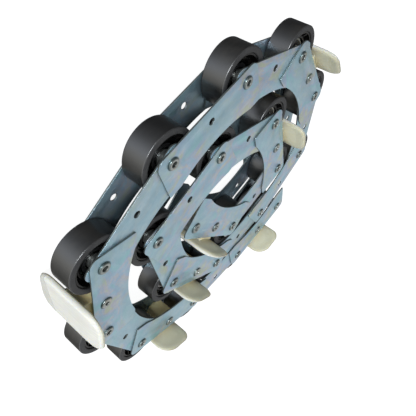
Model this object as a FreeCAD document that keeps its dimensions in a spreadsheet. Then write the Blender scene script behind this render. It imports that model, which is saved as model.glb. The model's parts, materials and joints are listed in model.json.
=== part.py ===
"""Coiled reversing roller chain of an escalator handrail.

Nineteen links, hinged on eighteen roller pins, lie in a flat spiral.
Link 1 is the innermost one and link 19 the outermost.
Odd links have the outer side plates and hold the pins; even links have the inner side plates.

Frame: the origin is on the axis of the inner end pin, midway between the side plates.
+Z is along the hinge axes, +X runs along link 1, and +Y is the inside of the spiral.
Each link has the same frame of its own at its first pin.
"""
import FreeCAD, Part
import math
import os
import Sketcher

SIZES = {
    # side plates
    "pitch": 70.0,
    "plate_thick": 1.2,
    "outer_gap": 20.6,
    "inner_gap": 18.0,
    "plate_end": 10.85,
    "plate_back": 9.6,
    "plate_belly": 24.8,
    "belly_arc": 98.0,
    "belly_rise": 18.3,
    "back_corner": 6.0,
    "belly_corner": 1.2,
    "mid_hole": 5.0,
    # hinge pins and their sleeves
    "pin_dia": 8.0,
    "pin_neck": 5.96,
    "neck_hole": 6.0,
    "pin_running": 0.05,
    "head_dia": 8.4,
    "head_rise": 1.3,
    "head_bevel": 0.4,
    "dimple_dia": 4.2,
    "dimple_deep": 2.5,
    "sleeve_dia": 11.0,
    "sleeve_play": 0.1,
    "end_tube_dia": 12.0,
    # shoe rivets
    "rivet_dia": 4.9,
    "rivet_head": 8.0,
    "rivet_rise": 1.1,
    "rivet_dimple": 3.2,
    # ball bearings
    "bearing_dia": 22.0,
    "bearing_wide": 7.0,
    "outer_race": 18.0,
    "inner_race": 12.1,
    "ball_circle": 15.0,
    "ball_dia": 3.96,
    "race_play": 0.05,
    "ring_fit": 0.02,
    # rollers
    "roller_dia": 42.0,
    "roller_wide": 16.6,
    "tread_bore": 33.4,
    "tread_bevel": 0.6,
    "hub_dia": 25.6,
    "hub_wide": 9.2,
    "rim_bore": 30.4,
    "web_wide": 4.0,
    "rib_thick": 1.2,
    "rib_wide": 11.0,
    "rib_bury": 0.5,
    # guide shoes
    "shoe_long": 32.0,
    "shoe_tall": 58.0,
    "shoe_thick": 4.5,
    "shoe_face": 20.2,
    "shoe_corner": 8.0,
    "lead_corner": 13.0,
    "shoe_edge": 1.5,
    "stem_wide": 17.6,
    "stem_foot": 16.0,
    "stem_flare": 22.0,
    "stem_back": 6.0,
    "stem_bury": 1.0,
    "boss_dia": 10.0,
    "boss_wide": 20.4,
}

# Degrees that each link turns from the one before it, from the inside of the spiral outwards.
BENDS = [63, 90, 60, 37, 74, 44, 45, 24, 58, 36, 42, 27, 17, 48, 28.5, 49, 22, 13.5]
SHOE_LINKS = (1, 3, 7, 11, 15, 17, 19)
LINK_COUNT = len(BENDS) + 1
BALL_COUNT = 7
RIB_COUNT = 12
TINY = 0.01

doc = FreeCAD.newDocument("reversing_chain")
sheet = doc.addObject("Spreadsheet::Sheet", "sizes")


def fill_sheet():
    """Puts every driving dimension and rest angle in the spreadsheet, with its alias."""
    angles = {f"bend_{number:02d}": angle for number, angle in enumerate(BENDS, 1)}
    for row, (alias, value) in enumerate({**SIZES, **angles}.items(), 1):
        sheet.set(f"A{row}", alias)
        sheet.set(f"B{row}", str(value))
        sheet.setAlias(f"B{row}", alias)
    doc.recompute()


def size(alias):
    return float(sheet.get(alias))


def bind(feature, **formulas):
    """Binds properties to the sheet; a double underscore in a key stands for a dot."""
    for name, formula in formulas.items():
        feature.setExpression(name.replace("__", "."), formula)


# ---- small building blocks -------------------------------------------------

def cylinder(name, radius, height, x="0", y="0"):
    """A cylinder along Z, centred on z = 0."""
    item = doc.addObject("Part::Cylinder", name)
    bind(item, Radius=radius, Height=height)
    bind(item, Placement__Base__x=x, Placement__Base__y=y, Placement__Base__z=f"-({height}) / 2")
    return item


def box(name, lengths, corner):
    item = doc.addObject("Part::Box", name)
    bind(item, Length=lengths[0], Width=lengths[1], Height=lengths[2])
    bind(item, Placement__Base__x=corner[0], Placement__Base__y=corner[1], Placement__Base__z=corner[2])
    return item


def cut(name, base, *tools):
    """Cuts each tool from the base, one after the other."""
    result = base
    for number, tool in enumerate(tools, 1):
        step = doc.addObject("Part::Cut", name if number == len(tools) else f"{name}_cut_{number}")
        step.Base = result
        step.Tool = tool
        result = step
    return result


def fuse(name, *pieces):
    item = doc.addObject("Part::MultiFuse", name)
    item.Shapes = list(pieces)
    item.Refine = True
    return item


def group(name, pieces):
    """Several separate solids kept as one object."""
    item = doc.addObject("Part::Compound", name)
    item.Links = list(pieces)
    return item


def mirrored(source):
    """The same piece on the other side of the chain's middle plane."""
    item = doc.addObject("Part::Mirroring", f"{source.Name}_back")
    item.Source = source
    item.Normal = FreeCAD.Vector(0, 0, 1)
    return item


def ring(name, outer_dia, inner_dia, wide):
    outside = cylinder(f"{name}_outside", f"({outer_dia}) / 2", wide)
    inside = cylinder(f"{name}_inside", f"({inner_dia}) / 2", f"({wide}) * 2")
    return cut(name, outside, inside)


def filleted(name, base, radius, wanted):
    """Rounds the edges of the base that the test picks."""
    doc.recompute()
    edges = [number for number, edge in enumerate(base.Shape.Edges, 1) if wanted(edge)]
    item = doc.addObject("Part::Fillet", name)
    item.Base = base
    item.Edges = [(number, radius, radius) for number in edges]
    return item


def runs_along(edge, axis):
    """True for a straight edge along the axis."""
    return edge.Curve.TypeId == "Part::GeomLine" and abs(edge.Curve.Direction.dot(axis)) > 1 - TINY


def plane_of(body, role):
    return next(item for item in body.Origin.OriginFeatures if item.Role == role)


def outline(body, name, plane, corners):
    """A closed sketch whose corners are all bound to formulas of the sheet."""
    sketch = body.newObject("Sketcher::SketchObject", name)
    sketch.AttachmentSupport = [(plane_of(body, plane), "")]
    sketch.MapMode = "FlatFace"
    count = len(corners)
    first_guess = FreeCAD.Vector(5, 0, 0)
    upright = FreeCAD.Vector(0, 0, 1)
    spots = [FreeCAD.Rotation(upright, 360 * n / count).multVec(first_guess) for n in range(count)]
    for number in range(count):
        sketch.addGeometry(Part.LineSegment(spots[number], spots[(number + 1) % count]), False)
    for number in range(count):
        sketch.addConstraint(Sketcher.Constraint("Coincident", number, 2, (number + 1) % count, 1))
    for number, formulas in enumerate(corners):
        for kind, formula in zip(("DistanceX", "DistanceY"), formulas):
            spot = spots[number].x if kind == "DistanceX" else spots[number].y
            index = sketch.addConstraint(Sketcher.Constraint(kind, -1, 1, number, 1, spot))
            sketch.setExpression(f"Constraints[{index}]", formula)
    return sketch


def turned(name, corners):
    """A body turned about Z from an outline of (radius, height) corners."""
    body = doc.addObject("PartDesign::Body", name)
    sketch = outline(body, f"{name}_outline", "XZ_Plane", corners)
    turn = body.newObject("PartDesign::Revolution", f"{name}_turn")
    turn.Profile = sketch
    turn.ReferenceAxis = (sketch, ["V_Axis"])
    turn.Angle = 360.0
    body.Tip = turn
    return body


# ---- side plates -----------------------------------------------------------

HALF_STACK = "(sizes.outer_gap / 2 + sizes.plate_thick)"
WHOLE_WIDTH = "(sizes.outer_gap + 4 * sizes.plate_thick)"


def side_plate(name, gap, pin_hole):
    """One side plate: a strip with rounded back corners and a hollowed belly edge."""
    blank = box(f"{name}_blank",
                ("sizes.pitch + 2 * sizes.plate_end",
                 "sizes.plate_back + sizes.plate_belly",
                 "sizes.plate_thick"),
                ("-sizes.plate_end", "-sizes.plate_back", f"{gap} / 2"))
    upright = FreeCAD.Vector(0, 0, 1)
    rounded = filleted(f"{name}_rounded", blank, size("back_corner"),
                       lambda edge: runs_along(edge, upright) and edge.CenterOfMass.y < 0)
    softened = filleted(f"{name}_softened", rounded, size("belly_corner"),
                        lambda edge: runs_along(edge, upright) and edge.CenterOfMass.y > size("plate_back"))
    hollow = cylinder(f"{name}_hollow", "sizes.belly_arc", WHOLE_WIDTH,
                      "sizes.pitch / 2", "sizes.belly_rise + sizes.belly_arc")
    first = cylinder(f"{name}_first_hole", f"{pin_hole} / 2", WHOLE_WIDTH)
    second = cylinder(f"{name}_second_hole", f"{pin_hole} / 2", WHOLE_WIDTH, "sizes.pitch")
    middle = cylinder(f"{name}_middle_hole", "sizes.mid_hole / 2", WHOLE_WIDTH, "sizes.pitch / 2")
    front = cut(name, softened, hollow, first, second, middle)
    return [front, mirrored(front)]


# ---- pins, sleeves and rivets ----------------------------------------------

def pin_outline(shank, neck, head, rise):
    """Upper right half of a riveted pin's section, from the shank to the head's rim."""
    top = f"{HALF_STACK} + {rise}"
    return [(f"{shank} / 2", "sizes.outer_gap / 2 - sizes.ring_fit"),
            (f"{neck} / 2", "sizes.outer_gap / 2 - sizes.ring_fit"),
            (f"{neck} / 2", HALF_STACK),
            (f"{head} / 2", HALF_STACK),
            (f"{head} / 2", f"{top} - sizes.head_bevel"),
            (f"{head} / 2 - sizes.head_bevel", top)]


def both_ends(corners):
    """The corners followed by their mirror images below z = 0, in order round the outline."""
    lower = [(radius, f"-({height})") for radius, height in corners]
    return corners + lower[::-1]


def hinge_pin():
    top = f"{HALF_STACK} + sizes.head_rise"
    corners = pin_outline("sizes.pin_dia", "sizes.pin_neck", "sizes.head_dia", "sizes.head_rise")
    corners += [("sizes.dimple_dia / 2", top),
                ("sizes.dimple_dia / 2", f"{top} - sizes.dimple_deep"),
                ("0", f"{top} - sizes.dimple_deep")]
    return turned("hinge_pin", both_ends(corners)[::-1])


def end_pin():
    """The pin at a free end of the chain: a tubular rivet, open right through."""
    top = f"{HALF_STACK} + sizes.head_rise"
    corners = pin_outline("sizes.pin_dia", "sizes.pin_neck", "sizes.head_dia", "sizes.head_rise")
    corners += [("sizes.dimple_dia / 2", top)]
    return turned("end_pin", both_ends(corners)[::-1])


def shoe_rivet():
    shank = "sizes.rivet_dia"
    top = f"{HALF_STACK} + sizes.rivet_rise"
    corners = [(f"{shank} / 2", HALF_STACK),
               ("sizes.rivet_head / 2", HALF_STACK),
               ("sizes.rivet_head / 2", f"{top} - sizes.head_bevel"),
               ("sizes.rivet_head / 2 - sizes.head_bevel", top),
               ("sizes.rivet_dimple / 2", top),
               ("sizes.rivet_dimple / 2", f"{top} - sizes.rivet_rise"),
               ("0", f"{top} - sizes.rivet_rise")]
    return turned("shoe_rivet", both_ends(corners)[::-1])


RING_BORE = "(sizes.pin_dia + 2 * sizes.ring_fit)"


def sleeve():
    """The spacer between a bearing's inner ring and the inner plate."""
    item = ring("sleeve", "sizes.sleeve_dia", RING_BORE,
                "(sizes.inner_gap - sizes.bearing_wide) / 2 - 2 * sizes.sleeve_play")
    bind(item, Placement__Base__z="(sizes.inner_gap + sizes.bearing_wide) / 4")
    return item


def end_tube():
    return ring("end_tube", "sizes.end_tube_dia", RING_BORE, "sizes.outer_gap - 2 * sizes.sleeve_play")


# ---- bearings and rollers --------------------------------------------------

def ball_track():
    """The torus that the balls run in."""
    item = doc.addObject("Part::Torus", "ball_track")
    bind(item, Radius1="sizes.ball_circle / 2", Radius2="sizes.ball_dia / 2 + sizes.race_play")
    return item


def inner_ring(track):
    blank = ring("inner_ring_blank", "sizes.inner_race", RING_BORE, "sizes.bearing_wide")
    return cut("inner_ring", blank, track)


def outer_ring(track):
    blank = ring("outer_ring_blank", "sizes.bearing_dia", "sizes.outer_race", "sizes.bearing_wide")
    return cut("outer_ring", blank, track)


def balls():
    """The bearing's balls, evenly spaced."""
    items = []
    for number in range(BALL_COUNT):
        angle = 360 * number / BALL_COUNT
        ball = doc.addObject("Part::Sphere", f"ball_{number + 1}")
        bind(ball, Radius="sizes.ball_dia / 2",
             Placement__Base__x=f"sizes.ball_circle / 2 * cos({angle} deg)",
             Placement__Base__y=f"sizes.ball_circle / 2 * sin({angle} deg)")
        items.append(ball)
    return items


def tread():
    """The roller's running surface."""
    half = "sizes.roller_wide / 2"
    edge = "sizes.tread_bevel"
    corners = [("sizes.roller_dia / 2", f"{half} - {edge}"),
               (f"sizes.roller_dia / 2 - {edge}", half),
               ("sizes.tread_bore / 2", half)]
    return turned("tread", both_ends(corners))


def wheel():
    """The moulded wheel: hub round the bearing, thin web, rim and radial ribs."""
    half_hub = "sizes.hub_wide / 2"
    half_web = "sizes.web_wide / 2"
    half_rim = "(sizes.roller_wide / 2 - sizes.tread_bevel)"
    bore = "sizes.bearing_dia / 2 + sizes.ring_fit"
    corners = [("sizes.tread_bore / 2 - sizes.ring_fit", half_rim),
               ("sizes.rim_bore / 2", half_rim),
               ("sizes.rim_bore / 2", half_web),
               ("sizes.hub_dia / 2", half_web),
               ("sizes.hub_dia / 2", half_hub),
               (bore, half_hub)]
    body = turned("wheel_body", both_ends(corners))
    depth = "(sizes.rim_bore - sizes.hub_dia) / 2 + 2 * sizes.rib_bury"
    ribs = []
    for number in range(RIB_COUNT):
        rib = box(f"rib_{number + 1}", (depth, "sizes.rib_thick", "sizes.rib_wide"),
                  ("0", "0", "-sizes.rib_wide / 2"))
        angle = 360 * number / RIB_COUNT
        start = "(sizes.hub_dia / 2 - sizes.rib_bury)"
        bind(rib, Placement__Base__x=f"{start} * cos({angle} deg) + sizes.rib_thick / 2 * sin({angle} deg)",
             Placement__Base__y=f"{start} * sin({angle} deg) - sizes.rib_thick / 2 * cos({angle} deg)",
             Placement__Rotation__Angle=f"{angle} deg")
        ribs.append(rib)
    return fuse("wheel", body, *ribs)


# ---- guide shoes -----------------------------------------------------------

def guide_shoe():
    """A T-shaped nylon shoe: a rounded sliding plate on a stem that fits between the side plates."""
    plate = box("shoe_plate",
                ("sizes.shoe_long", "sizes.shoe_thick", "sizes.shoe_tall"),
                ("(sizes.pitch - sizes.shoe_long) / 2", "-sizes.shoe_face", "-sizes.shoe_tall / 2"))
    depth = FreeCAD.Vector(0, 1, 0)
    centre = size("pitch") / 2
    trailing = filleted("shoe_plate_trailing", plate, size("shoe_corner"),
                        lambda edge: runs_along(edge, depth) and edge.CenterOfMass.x > centre)
    rounded = filleted("shoe_plate_rounded", trailing, size("lead_corner"),
                       lambda edge: runs_along(edge, depth) and edge.CenterOfMass.x < centre)
    soft = filleted("shoe_plate_soft", rounded, size("shoe_edge"),
                    lambda edge: edge.CenterOfMass.y < TINY - size("shoe_face"))
    stem = doc.addObject("PartDesign::Body", "shoe_stem")
    middle = "sizes.pitch / 2"
    foot = "sizes.stem_foot / 2"
    flare = "sizes.stem_flare / 2"
    neck = "-(sizes.shoe_face - sizes.shoe_thick)"
    corners = [(f"{middle} - {foot}", "sizes.stem_back"),
               (f"{middle} + {foot}", "sizes.stem_back"),
               (f"{middle} + {foot}", f"{neck} / 2"),
               (f"{middle} + {flare}", f"{neck} - sizes.stem_bury"),
               (f"{middle} - {flare}", f"{neck} - sizes.stem_bury"),
               (f"{middle} - {foot}", f"{neck} / 2")]
    sketch = outline(stem, "shoe_stem_outline", "XY_Plane", corners)
    pad = stem.newObject("PartDesign::Pad", "shoe_stem_pad")
    pad.Profile = sketch
    pad.Midplane = True
    bind(pad, Length="sizes.stem_wide")
    stem.Tip = pad
    boss = cylinder("shoe_boss", "sizes.boss_dia / 2", "sizes.boss_wide", middle)
    whole = fuse("shoe_whole", soft, stem, boss)
    hole = cylinder("shoe_rivet_hole", "sizes.mid_hole / 2", "2 * sizes.boss_wide", middle)
    return cut("guide_shoe", whole, hole)


# ---- the chain -------------------------------------------------------------

def rest_frames():
    """The placement of each link in the spiral: at its first pin, turned along the link."""
    frames = []
    heading = 0.0
    spot = FreeCAD.Vector(0, 0, 0)
    for number in range(1, LINK_COUNT + 1):
        turn = FreeCAD.Rotation(FreeCAD.Vector(0, 0, 1), heading)
        frames.append(FreeCAD.Placement(spot, turn))
        spot = frames[-1].multVec(FreeCAD.Vector(size("pitch"), 0, 0))
        if number < LINK_COUNT:
            heading += size(f"bend_{number:02d}")
    return frames


def placed(name, pieces, placement):
    """One named sub-part of the chain, at its place."""
    item = group(name, pieces)
    item.Label = name
    item.Placement = placement
    return item


def copy_at_far_end(source):
    """The same piece at a link's second pin."""
    item = group(f"{source.Name}_far", [source])
    bind(item, Placement__Base__x="sizes.pitch")
    return item


def build_chain():
    outer_plates = side_plate("outer_plate", "sizes.outer_gap", "sizes.neck_hole")
    inner_plates = side_plate("inner_plate", "sizes.inner_gap", "(sizes.pin_dia + 2 * sizes.pin_running)")
    track = ball_track()
    sleeve_front = sleeve()
    near_axle = [hinge_pin(), sleeve_front, mirrored(sleeve_front), inner_ring(track)]
    far_axle = [copy_at_far_end(piece) for piece in near_axle]
    near_end = end_pin()
    far_end = copy_at_far_end(near_end)
    near_tube = end_tube()
    far_tube = copy_at_far_end(near_tube)
    rivet = group("shoe_rivet_seat", [shoe_rivet()])
    bind(rivet, Placement__Base__x="sizes.pitch / 2")
    roller = [tread(), wheel(), outer_ring(track)] + balls()
    shoe = guide_shoe()

    parts = []
    frames = rest_frames()
    for number, frame in enumerate(frames, 1):
        label = f"link_{number:02d}"
        outer = number % 2 == 1
        parts.append(placed(f"{label}_plates", outer_plates if outer else inner_plates, frame))
        if outer:
            pins = [near_end] if number == 1 else list(near_axle)
            pins += [far_end] if number == LINK_COUNT else far_axle
            if number in SHOE_LINKS:
                pins.append(rivet)
            parts.append(placed(f"{label}_pins", pins, frame))
        if number in SHOE_LINKS:
            parts.append(placed(f"{label}_shoe", [shoe], frame))
        if number > 1:
            parts.append(placed(f"roller_{number - 1:02d}", roller, frame))
    parts.append(placed("inner_end_tube", [near_tube], frames[0]))
    parts.append(placed("outer_end_tube", [far_tube], frames[-1]))
    return parts


def check_and_write(parts):
    """Stops on any failed object or bad shape, then writes one STEP file per sub-part."""
    doc.recompute()
    for item in doc.Objects:
        if "Invalid" in item.State or "Error" in item.State:
            raise RuntimeError(f"{item.Name} failed: {item.State}")
    os.makedirs("parts", exist_ok=True)
    for part in parts:
        if part.Shape.isNull() or not part.Shape.isValid():
            raise RuntimeError(f"{part.Label} has no valid shape")
        part.Shape.exportStep(f"parts/{part.Label}.step")
    print(len(parts), "sub-parts,", sum(len(part.Shape.Solids) for part in parts), "solids")


fill_sheet()
check_and_write(build_chain())
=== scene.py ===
"""Looks of the coiled reversing roller chain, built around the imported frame.

Every piece is made in its link's own frame: u runs along the link from its first pin, w across it
towards the inside of the coil, and z along the pins. The sizes of pieces are in millimetres, and
those of the studio in metres.
"""
import json
import math

import bmesh
import bpy
from mathutils import Matrix, Vector


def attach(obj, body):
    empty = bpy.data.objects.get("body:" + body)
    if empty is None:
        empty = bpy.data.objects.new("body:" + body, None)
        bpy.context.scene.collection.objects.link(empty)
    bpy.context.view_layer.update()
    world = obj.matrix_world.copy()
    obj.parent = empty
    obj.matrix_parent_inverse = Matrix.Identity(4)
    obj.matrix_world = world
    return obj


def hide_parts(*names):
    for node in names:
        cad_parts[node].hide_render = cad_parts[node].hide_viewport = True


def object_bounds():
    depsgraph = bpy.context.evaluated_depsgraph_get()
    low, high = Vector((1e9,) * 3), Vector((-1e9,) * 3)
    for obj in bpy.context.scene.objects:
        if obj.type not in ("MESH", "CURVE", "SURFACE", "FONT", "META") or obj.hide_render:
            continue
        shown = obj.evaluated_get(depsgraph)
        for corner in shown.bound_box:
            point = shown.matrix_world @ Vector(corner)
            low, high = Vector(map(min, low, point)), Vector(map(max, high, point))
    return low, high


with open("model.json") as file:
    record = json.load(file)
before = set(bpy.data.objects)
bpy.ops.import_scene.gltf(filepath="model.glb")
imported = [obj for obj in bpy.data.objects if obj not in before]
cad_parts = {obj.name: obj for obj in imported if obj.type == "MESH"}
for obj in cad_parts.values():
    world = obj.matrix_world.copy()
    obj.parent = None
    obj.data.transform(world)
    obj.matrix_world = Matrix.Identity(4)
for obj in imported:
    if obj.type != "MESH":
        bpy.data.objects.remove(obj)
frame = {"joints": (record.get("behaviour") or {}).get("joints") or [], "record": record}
CAD_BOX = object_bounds()
MM = 0.001

# ---- sizes of the pieces, as in the CAD model --------------------------------

PITCH = 70.0
PLATE_THICK = 1.2
OUTER_GAP = 20.6
INNER_GAP = 18.0
PLATE_END = 10.85
PLATE_BACK = 9.6
PLATE_BELLY = 24.8
BELLY_RISE = 18.3
BELLY_ARC = 98.0
BACK_CORNER = 6.0
BELLY_CORNER = 1.2
MID_HOLE = 5.0
PIN_DIA = 8.0
HEAD_DIA = 8.4
HEAD_RISE = 1.3
DIMPLE_DIA = 4.2
DIMPLE_DEEP = 2.5
RIVET_DIA = 4.9
RIVET_HEAD = 8.0
RIVET_RISE = 1.1
RIVET_DIMPLE = 3.2
SLEEVE_DIA = 11.0
END_TUBE_DIA = 12.0
BEARING_DIA = 22.0
BEARING_WIDE = 7.0
INNER_RACE = 12.1
OUTER_RACE = 18.0
ROLLER_DIA = 42.0
ROLLER_WIDE = 16.6
TREAD_BORE = 33.4
TREAD_BEVEL = 0.6
HUB_DIA = 25.6
HUB_WIDE = 9.2
RIM_BORE = 30.4
WEB_WIDE = 4.0
RIB_COUNT = 12
SHOE_LONG = 32.0
SHOE_TALL = 58.0
SHOE_THICK = 4.5
SHOE_FACE = 20.2
SHOE_CORNER = 8.0
LEADING_CORNER = 13.0
STEM_WIDE = 17.6
STEM_FOOT = 16.0
STEM_BACK = 6.0
BOSS_DIA = 10.0
BOSS_WIDE = 20.4
SHOE_LINKS = (1, 3, 7, 11, 15, 17, 19)
LINK_COUNT = 19
ROLLER_COUNT = 18
STACK = OUTER_GAP / 2 + PLATE_THICK

# ---- details that only the visible pieces have -------------------------------

PLATE_SOFT = 0.16
HEAD_LAP = 1.2
PIN_PLAY = 0.1
FIT = 0.02
END_GAP = 0.1
RIVET_DEEP = 1.1
RIM_STEP = 0.9
RIB_THICK = 1.1
RIB_BURY = 0.4
RIB_INTO_RIM = 0.3
RIB_BELOW_RIM = 1.6
RIB_BELOW_HUB = 0.3
BOSS_PLAY = 0.05
BOSS_BURY = 0.4
RIVET_STEPS = 40
SLEEVE_STEPS = 48
TUBE_STEPS = 56
ROLLER_STEPS = 96
RAMP_LONG = 12.0
RAMP_DEEP = 1.3
FACE_ROUND = 2.4
REAR_ROUND = 3.8
REAR_FALL = 1.7
REAR_SWELL = 3.0
SWELL_TALL = 21.0
SWELL_LONG = 15.0
RIDGE_SPOT = 16.5
RIDGE_SLANT = -0.25
RIDGE_HALF = 1.5
STEM_FLARE = 3.0
STEM_CORNER = 2.5
STEM_TINT_END = 9.0
# Half the width of the ring of painted shade round a rivet head.
RIVET_SHADE_HALF = 0.9
INWARD_LIMIT = 2.0
MERGE = 1e-4

# ---- studio ------------------------------------------------------------------

EYE = Vector((-271.95, 81.22, 128.15)) * MM
FORWARD = Vector((0.8999, -0.2053, -0.3847))
CAMERA_UP = Vector((-0.0218, 0.8599, -0.5100))
LENS = 35.88
SENSOR = 36.0
SHIFT = (-0.001, -0.0046)
STUDIO_REACH = 6.0
BACKDROP_SIDES = 36
WALL_REACH = STUDIO_REACH * 0.98
# The backdrop's radius and height, ring by ring.
BACKDROP_RINGS = ((WALL_REACH, -0.2), (WALL_REACH, 2.5), (STUDIO_REACH * 0.6, 5.0), (0.5, 6.0))
WORLD_LIGHT = 1.02
OVERHEAD = 0.42
FAR_SIDE = 0.25
LIGHT_UP = Vector((0.01, 0.02, 1))
# Each light's name, its place from the coil's middle, its side, its power in watts and its tint.
LIGHTS = (("key", (-2.7, 0.3, 1.8), 1.05, 81.0, (0.90, 0.95, 1.0)),
          ("fill", (-2.7, -2.4, 1.5), 2.7, 13.5, (1.0, 1.0, 1.0)))


# ---- places from the frame ---------------------------------------------------

def axle_points():
    """The pin positions from the inner end of the chain to the outer end."""
    mounts = {mount["name"]: mount["pos_m"] for mount in frame["record"]["mounts"]}
    hinges = {joint["name"]: joint["pos_m"] for joint in frame["joints"]}
    points = [mounts["inner_end_bore"]]
    points += [hinges[f"hinge_{number:02d}"] for number in range(1, LINK_COUNT)]
    points.append(mounts["outer_end_bore"])
    return [Vector(point) for point in points]


AXLES = axle_points()


def link_frame(number):
    """Where a link's own frame is: at its first pin, turned along the link."""
    start = AXLES[number - 1]
    along = AXLES[number] - start
    return Matrix.Translation(start) @ Matrix.Rotation(math.atan2(along.y, along.x), 4, "Z")


# ---- mesh helpers ------------------------------------------------------------

def add_piece(name, mesh, body, place, materials, smooth_angle=40):
    """Makes an object of a mesh that is given in its link's frame, with its materials, riding on its body.

    The mesh keeps each point's place in the link's frame, for the materials, as own_place.
    """
    mesh.transform(Matrix.Scale(MM, 4))
    own = mesh.attributes.new("own_place", "FLOAT_VECTOR", "POINT")
    own.data.foreach_set("vector", [value for vertex in mesh.vertices for value in vertex.co])
    mesh.transform(place)
    for material in materials:
        mesh.materials.append(material)
    mesh.polygons.foreach_set("use_smooth", [True] * len(mesh.polygons))
    mesh.set_sharp_from_angle(angle=math.radians(smooth_angle))
    seed = mesh.attributes.new("piece_seed", "FLOAT", "POINT")
    value = (sum(ord(letter) * (spot + 3) for spot, letter in enumerate(name)) % 97) * 0.37
    seed.data.foreach_set("value", [value] * len(mesh.vertices))
    piece = bpy.data.objects.new(name, mesh)
    bpy.context.scene.collection.objects.link(piece)
    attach(piece, body)
    return piece


def lathe(bm, loops, steps, centre=(0.0, 0.0)):
    """Turns closed or axis-ended profiles about the z axis.

    Each loop is a list of (radius, z, material) corners; a corner's material colours the band
    that starts there. A loop that doesn't touch the axis is closed on itself.
    """
    for corners in loops:
        rings = []
        for radius, z, _material in corners:
            if radius < 1e-6:
                rings.append([bm.verts.new((centre[0], centre[1], z))])
                continue
            turns = [2 * math.pi * step / steps for step in range(steps)]
            rings.append([bm.verts.new((centre[0] + radius * math.cos(turn),
                                        centre[1] + radius * math.sin(turn), z)) for turn in turns])
        closed = len(rings[0]) > 1 and len(rings[-1]) > 1
        for number in range(len(rings) if closed else len(rings) - 1):
            first = rings[number]
            second = rings[(number + 1) % len(rings)]
            for step in range(steps):
                after = (step + 1) % steps
                around = [first[step % len(first)], first[after % len(first)],
                          second[after % len(second)], second[step % len(second)]]
                face = bm.faces.new(list(dict.fromkeys(around)))
                face.material_index = corners[number][2]


def band(bm, first, second):
    """Joins two closed rings of the same number of points with faces."""
    for step in range(len(first)):
        after = (step + 1) % len(first)
        bm.faces.new([first[step], first[after], second[after], second[step]])


def rounded(corners, radius, steps=2):
    """A closed profile with its corners rounded off.

    Each corner is (radius, z, material), with its share of the rounding at the end if that isn't 1.
    """
    result = []
    count = len(corners)
    for number, corner in enumerate(corners):
        share = corner[3] if len(corner) > 3 else 1.0
        here = Vector(corner[:2])
        before = Vector(corners[number - 1][:2]) - here
        after = Vector(corners[(number + 1) % count][:2]) - here
        reach = min(radius * share, before.length * 0.49, after.length * 0.49)
        start = here + before.normalized() * reach
        end = here + after.normalized() * reach
        for step in range(steps + 1):
            t = step / steps
            spot = start * (1 - t) ** 2 + here * 2 * t * (1 - t) + end * t ** 2
            material = corner[2] if step == steps else corners[number - 1][2]
            result.append((spot.x, spot.y, material))
    return result


def mirrored_profile(upper):
    """An upper half profile and its mirror image below the middle, in one loop."""
    return upper + [(radius, -z, material) for radius, z, material in reversed(upper)]


def finish_mesh(bm, name):
    bmesh.ops.remove_doubles(bm, verts=bm.verts, dist=MERGE)
    bmesh.ops.recalc_face_normals(bm, faces=bm.faces)
    return as_mesh(bm, name)


def as_mesh(bm, name):
    mesh = bpy.data.meshes.new(name)
    bm.to_mesh(mesh)
    bm.free()
    return mesh


def arc_points(centre, radius, start, end, steps):
    """Points on an arc, with its angles in degrees."""
    points = []
    for step in range(steps + 1):
        angle = math.radians(start + (end - start) * step / steps)
        points.append((centre[0] + radius * math.cos(angle), centre[1] + radius * math.sin(angle)))
    return points


def sheet_mesh(name, loops, low, high, bevel):
    """A flat sheet with softly rounded edges: the first loop is the outline, the rest are holes."""
    curve = bpy.data.curves.new(name, "CURVE")
    curve.dimensions = "2D"
    curve.fill_mode = "BOTH"
    curve.extrude = (high - low) / 2 - bevel
    curve.bevel_depth = bevel
    curve.bevel_resolution = 2
    curve.offset = -bevel
    for points in loops:
        spline = curve.splines.new("POLY")
        spline.points.add(len(points) - 1)
        for spot, (u, w) in zip(spline.points, points):
            spot.co = (u, w, 0, 1)
        spline.use_cyclic_u = True
    holder = bpy.data.objects.new(name, curve)
    bpy.context.scene.collection.objects.link(holder)
    graph = bpy.context.evaluated_depsgraph_get()
    mesh = bpy.data.meshes.new_from_object(holder.evaluated_get(graph))
    bpy.data.objects.remove(holder)
    bpy.data.curves.remove(curve)
    mesh.transform(Matrix.Translation((0, 0, (low + high) / 2)))
    return mesh


def add_mesh(bm, mesh):
    """Puts a mesh's faces in the bmesh and drops the mesh."""
    bm.from_mesh(mesh)
    bpy.data.meshes.remove(mesh)


# ---- shader helpers ----------------------------------------------------------

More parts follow.
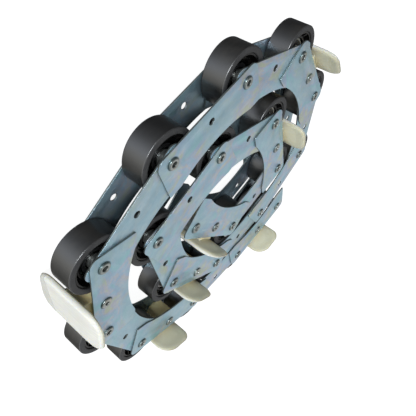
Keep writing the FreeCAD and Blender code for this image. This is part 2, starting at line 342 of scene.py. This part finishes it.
class Nodes:
    """A short way to build a node tree. Values are numbers, tuples or the outputs of other nodes."""

    def __init__(self, tree):
        self.tree = tree

    def node(self, kind, **settings):
        item = self.tree.nodes.new(kind)
        for key, value in settings.items():
            setattr(item, key, value)
        return item

    def feed(self, value, socket):
        if isinstance(value, bpy.types.NodeSocket):
            self.tree.links.new(value, socket)
        elif isinstance(value, tuple) and socket.type == "RGBA":
            socket.default_value = (*value, 1)
        else:
            socket.default_value = value

    def math(self, operation, *values):
        item = self.node("ShaderNodeMath", operation=operation)
        for value, socket in zip(values, item.inputs):
            self.feed(value, socket)
        return item.outputs[0]

    def vector_math(self, operation, first, second, result=0):
        item = self.node("ShaderNodeVectorMath", operation=operation)
        self.feed(first, item.inputs[0])
        self.feed(second, item.inputs[1])
        return item.outputs[result]

    def parts(self, vector):
        """The X, Y and Z outputs of a vector."""
        item = self.node("ShaderNodeSeparateXYZ")
        self.feed(vector, item.inputs[0])
        return item.outputs

    def span(self, value, low, high, start=0.0, end=1.0):
        """Maps start..end onto low..high."""
        item = self.node("ShaderNodeMapRange")
        for name, number in (("Value", value), ("From Min", start), ("From Max", end),
                             ("To Min", low), ("To Max", high)):
            self.feed(number, item.inputs[name])
        return item.outputs["Result"]

    def ramp(self, value, stops, curve="EASE"):
        """Colours or greys at places along 0..1."""
        item = self.node("ShaderNodeValToRGB")
        item.color_ramp.interpolation = curve
        elements = item.color_ramp.elements
        while len(elements) < len(stops):
            elements.new(0.5)
        for element, (place, colour) in zip(elements, stops):
            element.position = place
            element.color = (*colour, 1) if isinstance(colour, tuple) else (colour, colour, colour, 1)
        self.feed(value, item.inputs["Fac"])
        return item.outputs["Color"]

    def mix(self, factor, first, second, mode="MIX"):
        item = self.node("ShaderNodeMix", data_type="RGBA", blend_type=mode)
        for name, value in (("Factor", factor), ("A", first), ("B", second)):
            self.feed(value, item.inputs[name])
        return item.outputs["Result"]


class Shader(Nodes):
    """One node material. Its places are in the piece's link frame, in metres."""

    def __init__(self, name):
        self.material = bpy.data.materials.new(name)
        self.material.use_nodes = True
        super().__init__(self.material.node_tree)
        self.surface = self.tree.nodes["Principled BSDF"]

    def own_place(self):
        return self.node("ShaderNodeAttribute", attribute_name="own_place").outputs["Vector"]

    def facing(self):
        """The X, Y and Z outputs of the direction that the surface looks in."""
        return self.parts(self.node("ShaderNodeTexCoord").outputs["Normal"])

    def noise(self, scale, stretch=(1, 1, 1), detail=3.0, rough=0.5, warp=0.0):
        """Noise over the link's frame, moved by the piece's seed and stretched."""
        seed = self.node("ShaderNodeAttribute", attribute_name="piece_seed").outputs["Fac"]
        moved = self.vector_math("ADD", self.own_place(), seed)
        item = self.node("ShaderNodeTexNoise")
        for name, value in (("Scale", scale), ("Detail", detail), ("Roughness", rough), ("Distortion", warp),
                            ("Vector", self.vector_math("MULTIPLY", moved, stretch))):
            self.feed(value, item.inputs[name])
        return item.outputs["Fac"]

    def sideways(self):
        """1 on faces that look across the pins, such as a plate's cut edge, and 0 on flat sides; it masks the
        painted shade on the cut edges.
        """
        return self.ramp(self.math("ABSOLUTE", self.facing()["Z"]), [(0.25, 1.0), (0.75, 0.0)])

    def inner_side(self):
        """The mask of painted shade on the plates' inner faces: 0 on a link's outward faces; on faces towards
        its middle plane it grows towards the belly.
        """
        spot = self.parts(self.own_place())
        outward = self.math("MULTIPLY", self.facing()["Z"], spot["Z"])
        inward = self.math("LESS_THAN", outward, -INWARD_LIMIT * MM)
        across = self.span(spot["Y"], 0.06, 0.95, -PLATE_BACK * MM, PLATE_BELLY * MM)
        return self.math("MULTIPLY", inward, across)

    def rivet_shade_ring(self, rivets):
        """A thin ring of painted shade where a rivet head meets the plate: high in the ring, and 0 elsewhere.
        """
        flat = self.vector_math("MULTIPLY", self.own_place(), (1, 1, 0))
        gaps = [self.vector_math("DISTANCE", flat, (u * MM, 0, 0), "Value") for u in rivets]
        closest = gaps[0]
        for gap in gaps[1:]:
            closest = self.math("MINIMUM", closest, gap)
        edge = HEAD_DIA / 2
        ring = self.span(closest, 0.0, 1.0, (edge - RIVET_SHADE_HALF) * MM, (edge + RIVET_SHADE_HALF) * MM)
        return self.ramp(ring, [(0.0, 0.0), (0.5, 0.85), (1.0, 0.0)])

    def bump(self, height, distance, strength, onto=None):
        """Bumps of a height in millimetres, laid over others if they are given."""
        item = self.node("ShaderNodeBump")
        self.feed(distance * MM, item.inputs["Distance"])
        self.feed(strength, item.inputs["Strength"])
        self.feed(height, item.inputs["Height"])
        if onto is not None:
            self.feed(onto, item.inputs["Normal"])
        return item.outputs["Normal"]

    def set(self, **values):
        """Feeds the surface's sockets and gives the material."""
        for key, value in values.items():
            self.feed(value, self.surface.inputs[key.replace("_", " ")])
        return self.material


# ---- materials ---------------------------------------------------------------

def zinc_plating(name, rivets):
    """Pale blue zinc: faint rose, violet and straw patches, with painted shade on the cut edges, on the inner
    faces towards the belly and in a thin ring round the rivets.
    """
    s = Shader(name)
    base = s.ramp(s.noise(22, detail=5, rough=0.6),
                  [(0.30, (0.385, 0.590, 0.665)), (0.50, (0.430, 0.630, 0.710)), (0.70, (0.490, 0.665, 0.735))])
    tint = s.ramp(s.noise(75, stretch=(0.8, 1.0, 1.0), detail=5, rough=0.6, warp=0.8),
                  [(0.36, (0.36, 0.64, 0.70)), (0.47, (0.46, 0.58, 0.75)), (0.55, (0.60, 0.58, 0.65)),
                   (0.63, (0.62, 0.65, 0.48))])
    where = s.ramp(s.noise(30), [(0.40, 0.15), (0.60, 0.78)])
    colour = s.mix(where, base, tint)
    drift = s.noise(150, stretch=(0.8, 1.2, 1.0), detail=6, rough=0.75)
    colour = s.mix(0.28, colour, s.ramp(drift, [(0.3, 0.28), (0.7, 0.74)]), "OVERLAY")
    scuffs = s.ramp(s.noise(420, stretch=(0.12, 1.0, 1.0), detail=2, rough=0.4), [(0.70, 0.0), (0.75, 0.7)])
    colour = s.mix(scuffs, colour, (0.62, 0.74, 0.78))
    # Painted shade: the cut edges are darkened, for the dark shadow lines where plates overlap.
    colour = s.mix(s.sideways(), colour, (0.22, 0.25, 0.24))
    # Painted shade on the inner faces of the plates, deeper towards the belly.
    colour = s.mix(s.inner_side(), colour, (0.080, 0.115, 0.135))
    # Painted shade in a thin ring round each rivet head.
    colour = s.mix(s.rivet_shade_ring(rivets), colour, (0.06, 0.10, 0.11))
    rough = s.mix(0.5, s.ramp(s.noise(60, detail=5), [(0.3, 0.38), (0.7, 0.50)]),
                  s.ramp(drift, [(0.3, 0.38), (0.7, 0.50)]))
    grain = s.bump(s.noise(2200, rough=0.6), 0.02, 0.35)
    waviness = s.bump(s.noise(60, detail=2), 0.1, 0.04, grain)
    return s.set(Base_Color=colour, Metallic=0.86, Roughness=rough, Normal=waviness)


def plated_steel():
    """Rivets, sleeves and tubes: a warmer, more worn zinc, with painted shade on the outer flank of each rivet
    head.
    """
    s = Shader("plated_steel")
    tone = s.ramp(s.noise(90, detail=5, rough=0.6),
                  [(0.3, (0.30, 0.34, 0.33)), (0.55, (0.46, 0.49, 0.47)), (0.75, (0.56, 0.54, 0.46))])
    # Painted shade in a ring round each pin, over the outer flank of the rivet head.
    tone = s.mix(s.rivet_shade_ring((0.0, PITCH / 2, PITCH)), tone, (0.10, 0.14, 0.14))
    turned = s.noise(300, stretch=(1, 1, 9), detail=2)
    rough = s.ramp(turned, [(0.3, 0.28), (0.7, 0.44)])
    return s.set(Base_Color=tone, Metallic=0.92, Roughness=rough, Normal=s.bump(turned, 0.03, 0.5))


def dark_dimple():
    """The punched middle of a rivet, painted near-black as painted shade in the hollow."""
    s = Shader("dark_dimple")
    dimple_mottle = s.noise(260, detail=4, rough=0.6)
    # Painted shade: the hollow's colour is near-black, with a mottle.
    colour = s.ramp(dimple_mottle, [(0.3, (0.020, 0.023, 0.022)), (0.7, (0.085, 0.090, 0.080))])
    return s.set(Base_Color=colour, Metallic=0.5, Roughness=s.span(dimple_mottle, 0.35, 0.6),
                 Normal=s.bump(dimple_mottle, 0.05, 0.5))


def bearing_steel():
    """The bearing's rings: ground and fairly glossy, their colour painted dark as painted shade deep in the
    roller's recess.
    """
    s = Shader("bearing_steel")
    tone = s.ramp(s.noise(120), [(0.3, (0.16, 0.16, 0.165)), (0.7, (0.26, 0.26, 0.25))])
    ground = s.noise(900, stretch=(1, 1, 5), detail=2)
    return s.set(Base_Color=tone, Metallic=1.0, Roughness=s.span(ground, 0.16, 0.28),
                 Normal=s.bump(ground, 0.01, 0.4))


def tread_polymer():
    """Charcoal tread: satin, with fine turning lines and slight dust."""
    s = Shader("tread_polymer")
    dust = s.ramp(s.noise(70, detail=6, rough=0.65), [(0.35, 0.0), (0.75, 1.0)])
    colour = s.mix(dust, (0.006, 0.006, 0.006), (0.016, 0.014, 0.011))
    lines = s.noise(40, stretch=(1.5, 1.5, 55), detail=2)
    colour = s.mix(0.25, colour, s.ramp(lines, [(0.3, 0.25), (0.7, 0.75)]), "OVERLAY")
    rough = s.mix(0.5, s.ramp(dust, [(0.0, 0.27), (1.0, 0.40)]), s.ramp(lines, [(0.3, 0.28), (0.7, 0.38)]))
    skin = s.bump(s.noise(1500, detail=4, rough=0.7), 0.04, 0.5)
    return s.set(Base_Color=colour, Roughness=rough, IOR=1.7, Specular_IOR_Level=0.9,
                 Normal=s.bump(lines, 0.04, 0.35, skin))


def ring_polymer():
    """The tread's side faces and edge bevels: lighter, matt, slightly grazed; on the bevels the lighter colour
    is a painted highlight.
    """
    s = Shader("ring_polymer")
    worn = s.ramp(s.noise(160, detail=6, rough=0.7), [(0.3, 0.0), (0.75, 1.0)])
    colour = s.mix(worn, (0.028, 0.028, 0.030), (0.050, 0.050, 0.050))
    return s.set(Base_Color=colour, Roughness=s.span(worn, 0.50, 0.68), Specular_IOR_Level=0.4,
                 Normal=s.bump(s.noise(2600, rough=0.7), 0.05, 0.6))


def hub_polymer():
    """The moulded wheel in the roller: deep black, a little glossy."""
    s = Shader("hub_polymer")
    bloom = s.ramp(s.noise(220, detail=4), [(0.4, 0.0), (0.8, 1.0)])
    colour = s.mix(bloom, (0.003, 0.003, 0.003), (0.010, 0.008, 0.007))
    return s.set(Base_Color=colour, Roughness=s.span(bloom, 0.26, 0.42), Specular_IOR_Level=0.25,
                 Normal=s.bump(s.noise(1200), 0.03, 0.4))


def seal_rubber():
    """The bearing's shields: black, with a thin film of oil."""
    s = Shader("seal_rubber")
    film = s.noise(500)
    return s.set(Base_Color=s.ramp(film, [(0.3, (0.006, 0.006, 0.007)), (0.7, (0.015, 0.015, 0.015))]),
                 Roughness=s.span(film, 0.35, 0.5), Normal=s.bump(film, 0.02, 0.4))


def ivory_nylon():
    """Shoe nylon: off-white on the sliding face and yellower towards the stem, with drag lines; the rear is
    darker as painted shade, and the ridge has painted shade and a painted highlight.
    """
    s = Shader("ivory_nylon")
    parts = s.parts(s.own_place())
    depth = s.span(parts["Y"], 0.0, 1.0, -SHOE_FACE * MM, -STEM_TINT_END * MM)
    clouds = s.noise(55, detail=5, rough=0.6)
    face = s.mix(clouds, (0.80, 0.79, 0.71), (0.92, 0.91, 0.85))
    # The rear face is yellower nylon, and darker as painted shade on the faces that look into the coil.
    rear = s.mix(clouds, (0.56, 0.53, 0.38), (0.65, 0.62, 0.46))
    stem = s.mix(clouds, (0.72, 0.61, 0.31), (0.80, 0.69, 0.40))
    on_face = s.ramp(depth, [(0.14, 1.0), (0.32, 0.0)])
    colour = s.mix(on_face, rear, face)
    colour = s.mix(s.ramp(depth, [(0.45, 0.0), (0.9, 1.0)]), colour, stem)
    # Painted shade and highlight of the worn ridge near the far end: darker over the end, a painted shadow in
    # the valley and a painted highlight on the crest. The same ramp also raises the ridge as a bump.
    slant = s.math("MULTIPLY_ADD", parts["X"], RIDGE_SLANT, parts["Z"])
    middle = RIDGE_SLANT * PITCH / 2 - RIDGE_SPOT
    end = s.span(slant, 0.0, 1.0, (middle - RIDGE_HALF) * MM, (middle + RIDGE_HALF) * MM)
    ridge = s.ramp(end, [(0.0, 0.84), (0.28, 0.72), (0.55, 1.0), (0.90, 0.92)])
    colour = s.mix(on_face, colour, s.mix(1.0, colour, ridge, "MULTIPLY"))
    drag = s.noise(34, stretch=(26, 8, 0.9))
    streaks = s.ramp(drag, [(0.38, 0.93), (0.64, 1.0)])
    colour = s.mix(on_face, colour, s.mix(1.0, colour, streaks, "MULTIPLY"))
    specks = s.ramp(s.noise(700, detail=2), [(0.72, 0.0), (0.78, 1.0)])
    colour = s.mix(specks, colour, (0.60, 0.57, 0.46))
    flow = s.bump(ridge, 1.0, 0.6, s.bump(drag, 0.08, 0.5))
    skin = s.bump(s.noise(900, detail=4, rough=0.6), 0.04, 0.5, flow)
    return s.set(Base_Color=colour, Roughness=s.span(clouds, 0.36, 0.52), Normal=skin, Specular_IOR_Level=0.38,
                 Subsurface_Weight=0.25, Subsurface_Scale=0.003, Subsurface_Radius=(1.0, 0.8, 0.45))


def studio_paint(name, scale, detail, tones, rough, glow):
    """White paint that glows, so that floor and backdrop look the same from every side."""
    s = Shader(name)
    low, high = tones
    tone = s.ramp(s.noise(scale, detail=detail), [(0.3, low), (0.7, high)])
    return s.set(Base_Color=tone, Roughness=rough, Specular_IOR_Level=0.1, Emission_Color=(1.0, 1.0, 1.0),
                 Emission_Strength=glow)


ZINC = zinc_plating("zinc_plating", (0.0, PITCH))
ZINC_WITH_SHOE = zinc_plating("zinc_plating_with_shoe_rivet", (0.0, PITCH / 2, PITCH))
NYLON = ivory_nylon()

# The materials of the pins and of the rollers, and each one's number in a profile.
PIN_PAINTS = [plated_steel(), bearing_steel(), dark_dimple()]
STEEL, RACE, DIMPLE = range(3)
ROLLER_PAINTS = [tread_polymer(), ring_polymer(), hub_polymer(), PIN_PAINTS[RACE], seal_rubber()]
TREAD, RING, HUB, BEARING, SEAL = range(5)


# ---- side plates -------------------------------------------------------------

def plate_outline():
    """The plate's edge: rounded back corners, and a belly edge hollowed by one large arc."""
    left = -PLATE_END
    right = PITCH + PLATE_END
    arc_centre = (PITCH / 2, BELLY_RISE + BELLY_ARC)
    reach = math.degrees(math.acos((arc_centre[1] - PLATE_BELLY) / BELLY_ARC))
    points = arc_points((left + BACK_CORNER, -PLATE_BACK + BACK_CORNER), BACK_CORNER, 180, 270, 8)
    points += arc_points((right - BACK_CORNER, -PLATE_BACK + BACK_CORNER), BACK_CORNER, 270, 360, 8)
    points += arc_points((right - BELLY_CORNER, PLATE_BELLY - BELLY_CORNER), BELLY_CORNER, 0, 90, 4)
    points += arc_points(arc_centre, BELLY_ARC, -90 + reach, -90 - reach, 20)
    points += arc_points((left + BELLY_CORNER, PLATE_BELLY - BELLY_CORNER), BELLY_CORNER, 90, 180, 4)
    return points


def hole(u, diameter):
    """A round hole's edge, as 24 points."""
    return arc_points((u, 0), diameter / 2, 0, 345, 23)


def side_plates(number):
    """The front and back plate of one link. The pin holes of the outer links lie under the pins' heads."""
    outer = number % 2 == 1
    inside = (OUTER_GAP if outer else INNER_GAP) / 2
    pin_hole = HEAD_DIA - HEAD_LAP if outer else PIN_DIA + PIN_PLAY
    loops = [plate_outline(), hole(0, pin_hole), hole(PITCH, pin_hole), hole(PITCH / 2, MID_HOLE)]
    bm = bmesh.new()
    for low in (inside, -inside - PLATE_THICK):
        add_mesh(bm, sheet_mesh("plate", loops, low, low + PLATE_THICK, PLATE_SOFT))
    zinc = ZINC_WITH_SHOE if number in SHOE_LINKS else ZINC
    piece = add_piece(f"side_plates_{number:02d}", finish_mesh(bm, "side_plates"), f"link_{number:02d}",
                      link_frame(number), [zinc], 30)
    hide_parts(f"link_{number:02d}_plates")


# ---- pins, sleeves, rivets ---------------------------------------------------

def head_profile(head, rise, dimple):
    """A rivet head's section, from inside its dimple over the rounded rim down to the plate."""
    top = STACK + rise
    inner = dimple / 2
    outer = head / 2
    rim = [(inner, top - 0.55), (inner + 0.12, top - 0.18), (inner + 0.45, top)]
    side = [(outer - 0.9, top), (outer - 0.45, top - 0.13), (outer - 0.12, top - 0.42),
            (outer, top - rise * 0.7), (outer, STACK)]
    return [(radius, z, STEEL) for radius, z in rim + side]


def solid_rivet(bm, u, shank, head, rise, dimple, deep):
    """A rivet with a blind dimple in each head."""
    floor = STACK + rise - deep
    upper = [(0.0, floor - 0.3, DIMPLE), (dimple / 2 - 0.25, floor, DIMPLE)] + head_profile(head, rise, dimple)
    upper.append((shank / 2, STACK, STEEL))
    lower = [(radius, -z, DIMPLE if radius < dimple / 2 + 0.05 else STEEL)
             for radius, z, _material in reversed(upper)]
    lathe(bm, [upper + lower], RIVET_STEPS, (u, 0))


def tubular_rivet(bm, u):
    """The end pin: open right through, with a rolled rim at each end."""
    upper = head_profile(HEAD_DIA, HEAD_RISE, DIMPLE_DIA) + [(PIN_DIA / 2, STACK - 0.6, STEEL)]
    lathe(bm, [mirrored_profile(upper)], RIVET_STEPS, (u, 0))


def ring_profile(bore, radius, low, high, material=STEEL):
    """The four corners of a plain ring's section."""
    return [(bore, low, material), (radius, low, material), (radius, high, material), (bore, high, material)]


def sleeves(bm, u):
    """Two spacer sleeves and the bearing's inner ring on one pin."""
    bore = PIN_DIA / 2 + FIT
    half = BEARING_WIDE / 2
    for side in (1, -1):
        sleeve = ring_profile(bore, SLEEVE_DIA / 2, side * (half + END_GAP), side * (INNER_GAP / 2 - END_GAP))
        lathe(bm, [rounded(sleeve, 0.5)], SLEEVE_STEPS, (u, 0))
    ring = ring_profile(bore, INNER_RACE / 2, -half, half, RACE)
    lathe(bm, [rounded(ring, 0.4)], SLEEVE_STEPS, (u, 0))


def link_pins(number):
    """The pins of an outer link, with their sleeves and inner rings, and the rivet of its shoe."""
    bm = bmesh.new()
    for end, u in ((number - 1, 0.0), (number, PITCH)):
        if end in (0, LINK_COUNT):
            tubular_rivet(bm, u)
            continue
        solid_rivet(bm, u, PIN_DIA, HEAD_DIA, HEAD_RISE, DIMPLE_DIA, DIMPLE_DEEP)
        sleeves(bm, u)
    if number in SHOE_LINKS:
        solid_rivet(bm, PITCH / 2, RIVET_DIA, RIVET_HEAD, RIVET_RISE, RIVET_DIMPLE, RIVET_DEEP)
    piece = add_piece(f"pins_{number:02d}", finish_mesh(bm, "pins"), f"link_{number:02d}", link_frame(number),
                      PIN_PAINTS)
    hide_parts(f"link_{number:02d}_pins")


def end_tube(name, link, u):
    """The spacer tube on the free pin at one end of the chain."""
    bm = bmesh.new()
    half = OUTER_GAP / 2 - END_GAP
    tube = ring_profile(PIN_DIA / 2 + FIT, END_TUBE_DIA / 2, -half, half)
    lathe(bm, [rounded(tube, 0.6, 3)], TUBE_STEPS, (u, 0))
    piece = add_piece(f"{name}_spacer", finish_mesh(bm, name), f"link_{link:02d}", link_frame(link),
                      PIN_PAINTS[:1])
    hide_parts(name)


# ---- rollers -----------------------------------------------------------------

def tread_profile():
    """The tread's section, with its running surface and its side rings; the bevels at the running surface's
    edges take the side rings' lighter material, as a painted highlight along each edge.
    """
    outer = ROLLER_DIA / 2
    bore = TREAD_BORE / 2
    half = ROLLER_WIDE / 2
    edge = TREAD_BEVEL
    corners = [(bore, -half + 0.5, RING, 0.5), (bore + 0.4, -half, RING, 0.5),
               (outer - edge, -half, RING, 0.4), (outer, -half + edge, TREAD, 0.5),
               (outer, half - edge, RING, 0.5), (outer - edge, half, RING, 0.4),
               (bore + 0.4, half, RING, 0.5), (bore, half - 0.5, RING, 0.5)]
    return rounded(corners, 0.5)


def wheel_profile():
    """Moulded wheel: rim, thin web and hub round the bearing."""
    rim = TREAD_BORE / 2 - FIT
    bore = BEARING_DIA / 2 + FIT
    half_rim = ROLLER_WIDE / 2 - RIM_STEP
    upper = [(bore, HUB_WIDE / 2, HUB), (HUB_DIA / 2, HUB_WIDE / 2, HUB), (HUB_DIA / 2, WEB_WIDE / 2, HUB),
             (RIM_BORE / 2, WEB_WIDE / 2, HUB), (RIM_BORE / 2, half_rim, HUB), (rim, half_rim, HUB)]
    return rounded(mirrored_profile(upper), 0.35)


def bearing_profiles():
    """Outer ring and the two shields that close the ball space."""
    race = OUTER_RACE / 2
    half = BEARING_WIDE / 2
    loops = [rounded(ring_profile(race, BEARING_DIA / 2, -half, half, BEARING), 0.5)]
    near = INNER_RACE / 2 + 0.25
    for side in (1, -1):
        corners = [(near, half - 0.55), (near + 0.5, half - 0.3), (race, half - 0.3), (race, half - 0.8),
                   (near, half - 0.8)]
        loops.append([(radius, side * z, SEAL) for radius, z in corners])
    return loops


def add_ribs(bm):
    """Radial ribs between the hub and the rim, on both sides of the web."""
    low = HUB_DIA / 2 - RIB_BURY
    high = RIM_BORE / 2 + RIB_INTO_RIM
    web = WEB_WIDE / 2 - RIB_BURY
    section = [(low, web), (high, web), (high, ROLLER_WIDE / 2 - RIB_BELOW_RIM),
               (low, HUB_WIDE / 2 - RIB_BELOW_HUB)]
    for number in range(RIB_COUNT):
        turn = Matrix.Rotation(2 * math.pi * number / RIB_COUNT, 4, "Z")
        for side in (1, -1):
            first, second = [[bm.verts.new(turn @ Vector((radius, offset, side * z))) for radius, z in section]
                             for offset in (-RIB_THICK / 2, RIB_THICK / 2)]
            made = [bm.faces.new(first), bm.faces.new(second[::-1])]
            for step in range(4):
                after = (step + 1) % 4
                made.append(bm.faces.new([first[step], second[step], second[after], first[after]]))
            for face in made:
                face.material_index = HUB


def roller(number):
    """One roller: tread, moulded wheel with ribs, and the turning half of its bearing."""
    bm = bmesh.new()
    lathe(bm, [tread_profile(), wheel_profile()] + bearing_profiles(), ROLLER_STEPS)
    add_ribs(bm)
    piece = add_piece(f"wheel_{number:02d}", finish_mesh(bm, "roller"), f"roller_{number:02d}",
                      link_frame(number + 1), ROLLER_PAINTS, 35)
    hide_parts(f"roller_{number:02d}")


# ---- guide shoes -------------------------------------------------------------

def plate_loop(inset, steps=8, along=10, across=5):
    """Points of the shoe plate's rounded outline, moved in by the inset."""
    half_u = SHOE_LONG / 2
    half_z = SHOE_TALL / 2
    arcs = []
    for start, sign_u, sign_z, size in ((0, 1, 1, SHOE_CORNER), (90, -1, 1, LEADING_CORNER),
                                        (180, -1, -1, LEADING_CORNER), (270, 1, -1, SHOE_CORNER)):
        reach = max(size, inset)
        centre = (sign_u * (half_u - reach), sign_z * (half_z - reach))
        arcs.append(arc_points(centre, max(size - inset, 0.0), start, start + 90, steps))
    points = []
    for number, count in enumerate((across, along, across, along)):
        first = arcs[number][-1]
        last = arcs[(number + 1) % 4][0]
        points += arcs[number]
        for step in range(1, count):
            t = step / count
            points.append((first[0] + (last[0] - first[0]) * t, first[1] + (last[1] - first[1]) * t))
    return points


def face_height(z):
    """The sliding face, which falls away near its ends for an easy entry into the handrail."""
    past = max(abs(z) - (SHOE_TALL / 2 - RAMP_LONG), 0.0)
    return -SHOE_FACE + RAMP_DEEP * (past / RAMP_LONG) ** 1.15


def rear_height(u, z, inset):
    """The rear face: flat near the rim, and swelling smoothly into the foot of the stem."""
    across = max(1 - (z / SWELL_TALL) ** 2, 0.0)
    along = max(1 - (u / SWELL_LONG) ** 2, 0.0)
    return -SHOE_FACE + SHOE_THICK + REAR_SWELL * across * along * min(inset / 6.0, 1.0)


def shoe_plate(bm):
    """The rounded sliding plate, as rings of points from the rear face's middle to the front's."""
    middle = SHOE_LONG / 2 - 0.05
    rings = []
    for inset in (middle, 13.5, 11.5, 9.5, 7.5, REAR_ROUND):
        rings.append([(u, rear_height(u, z, inset), z) for u, z in plate_loop(inset)])
    for step in range(1, 9):
        angle = math.radians(90 * step / 8)
        inset = REAR_ROUND * (1 - math.sin(angle))
        fall = REAR_FALL * (1 - math.cos(angle))
        rings.append([(u, rear_height(u, z, inset) - fall, z) for u, z in plate_loop(inset)])
    for step in range(7):
        angle = math.radians(90 * step / 6)
        inset = FACE_ROUND * (1 - math.cos(angle))
        rise = FACE_ROUND * (1 - math.sin(angle))
        rings.append([(u, face_height(z) + rise, z) for u, z in plate_loop(inset)])
    for inset in (3.5, 6.0, 9.0, 12.0, middle):
        rings.append([(u, face_height(z), z) for u, z in plate_loop(inset)])
    made = [[bm.verts.new((u + PITCH / 2, w, z)) for u, w, z in ring] for ring in rings]
    for first, second in zip(made, made[1:]):
        band(bm, first, second)
    for ring in (made[0], made[-1]):
        bm.faces.new(ring)


def shoe_stem_mesh():
    """The stem between the side plates, flared in a smooth curve where it meets the sliding plate."""
    foot = STEM_FOOT / 2
    neck = SHOE_FACE - SHOE_THICK
    half = arc_points((foot - STEM_CORNER, STEM_BACK - STEM_CORNER), STEM_CORNER, 90, 0, 5)
    for step in range(9):
        t = step / 8
        half.append((foot + STEM_FLARE * t ** 2.2, -(neck * 0.45 + (neck * 0.55 + 0.8) * t)))
    outline = [(PITCH / 2 + u, w) for u, w in half] + [(PITCH / 2 - u, w) for u, w in reversed(half)]
    return sheet_mesh("stem", [outline, hole(PITCH / 2, MID_HOLE)], -STEM_WIDE / 2, STEM_WIDE / 2, 0.5)


def guide_shoe(number):
    """One shoe: sliding plate, stem, and the bosses that its rivet goes through."""
    bm = bmesh.new()
    shoe_plate(bm)
    add_mesh(bm, shoe_stem_mesh())
    for side in (1, -1):
        low = side * (STEM_WIDE / 2 - BOSS_BURY)
        boss = ring_profile(MID_HOLE / 2 + BOSS_PLAY, BOSS_DIA / 2, low, side * BOSS_WIDE / 2, 0)
        lathe(bm, [rounded(boss, 0.4)], RIVET_STEPS, (PITCH / 2, 0))
    piece = add_piece(f"shoe_{number:02d}", finish_mesh(bm, "shoe"), f"link_{number:02d}", link_frame(number),
                      [NYLON], 45)
    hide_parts(f"link_{number:02d}_shoe")


# ---- floor, light and camera -------------------------------------------------

def add_stage(name, mesh, paint):
    """A part of the studio that only the camera sees: the world and the lights do all the lighting."""
    mesh.materials.append(paint)
    stage = bpy.data.objects.new(name, mesh)
    bpy.context.scene.collection.objects.link(stage)
    stage.visible_diffuse = False
    stage.visible_glossy = False
    stage.visible_transmission = False
    stage.visible_shadow = False


def add_floor():
    """A square floor under the coil."""
    low = CAD_BOX[0][2]
    corners = [(x * STUDIO_REACH, y * STUDIO_REACH, low) for x, y in ((-1, -1), (1, -1), (1, 1), (-1, 1))]
    mesh = bpy.data.meshes.new("floor")
    mesh.from_pydata(corners, [], [(0, 1, 2, 3)])
    add_stage("floor", mesh, studio_paint("pale_floor", 3, 3, (0.26, 0.28), 0.9, 0.92))


def add_backdrop():
    """A white ring wall at the floor's rim with a cone roof, so that every side shows a plain backdrop."""
    bm = bmesh.new()
    angles = [2 * math.pi * step / BACKDROP_SIDES for step in range(BACKDROP_SIDES)]
    rings = [[bm.verts.new((radius * math.cos(angle), radius * math.sin(angle), z)) for angle in angles]
             for radius, z in BACKDROP_RINGS]
    for first, second in zip(rings, rings[1:]):
        band(bm, first, second)
    bm.faces.new(rings[-1])
    paint = studio_paint("white_backdrop", 1, 2, (0.50, 0.52), 0.95, 1.0)
    add_stage("backdrop", as_mesh(bm, "backdrop"), paint)


def look_frame(eye, forward, up):
    """A camera or light frame at the eye: its -Z looks forward."""
    back = -forward.normalized()
    right = up.cross(back).normalized()
    over = back.cross(right)
    turn = Matrix((right, over, back)).transposed()
    return Matrix.Translation(eye) @ turn.to_4x4()


def add_camera():
    data = bpy.data.cameras.new("camera")
    data.lens = LENS
    data.sensor_width = SENSOR
    data.shift_x, data.shift_y = SHIFT
    data.clip_start = 0.01
    camera = bpy.data.objects.new("camera", data)
    camera.matrix_world = look_frame(EYE, FORWARD, CAMERA_UP)
    bpy.context.scene.collection.objects.link(camera)
    bpy.context.scene.camera = camera


def add_light(name, spot, size, power, tint):
    """A square soft light that faces the middle of the coil."""
    data = bpy.data.lights.new(name, "AREA")
    data.shape = "SQUARE"
    data.size = size
    data.energy = power
    data.color = tint
    light = bpy.data.objects.new(name, data)
    centre = sum(AXLES, Vector()) / len(AXLES)
    light.matrix_world = look_frame(centre + Vector(spot), -Vector(spot), LIGHT_UP)
    light.visible_camera = False
    bpy.context.scene.collection.objects.link(light)


def add_world():
    """A white studio, softer overhead. Below the horizon it is dark behind the object and at +Y."""
    world = bpy.data.worlds.new("studio")
    world.use_nodes = True
    bpy.context.scene.world = world
    sky = Nodes(world.node_tree)
    axes = sky.parts(sky.node("ShaderNodeTexCoord").outputs["Generated"])

    def shade(axis, stops):
        """A colour for each place along one axis of the direction, which runs from -1 to 1."""
        halved = [((spot + 1) / 2, colour) for spot, colour in stops]
        return sky.ramp(sky.span(axes[axis], 0.0, 1.0, -1.0, 1.0), halved, "LINEAR")

    height = shade("Z", [(-0.05, 1.0), (0.12, 0.70), (0.52, 0.68), (0.75, OVERHEAD)])
    above = sky.mix(1.0, height, shade("Y", [(0.0, 1.0), (0.6, FAR_SIDE)]), "MULTIPLY")
    front = shade("X", [(-0.75, 1.0), (0.0, 0.25)])
    low_side = shade("Y", [(-0.85, (0.55, 0.55, 0.52)), (-0.5, (0.95, 0.95, 0.90)), (-0.15, (1.04, 1.11, 1.22)),
                           (0.1, (0.72, 0.77, 0.85)), (0.4, (0.34, 0.36, 0.39)), (0.7, (0.22, 0.23, 0.24))])
    below = sky.mix(1.0, front, low_side, "MULTIPLY")
    total = sky.mix(shade("Z", [(-0.22, 0.0), (-0.04, 1.0)]), below, above)
    background = sky.tree.nodes["Background"]
    sky.feed(total, background.inputs["Color"])
    sky.feed(WORLD_LIGHT, background.inputs["Strength"])


def main():
    add_camera()
    add_world()
    for light in LIGHTS:
        add_light(*light)
    add_floor()
    add_backdrop()
    for number in range(1, LINK_COUNT + 1):
        side_plates(number)
        if number % 2 == 1:
            link_pins(number)
        if number in SHOE_LINKS:
            guide_shoe(number)
    for number in range(1, ROLLER_COUNT + 1):
        roller(number)
    end_tube("inner_end_tube", 1, 0.0)
    end_tube("outer_end_tube", LINK_COUNT, PITCH)
    bpy.context.scene.view_settings.view_transform = "Standard"


main()
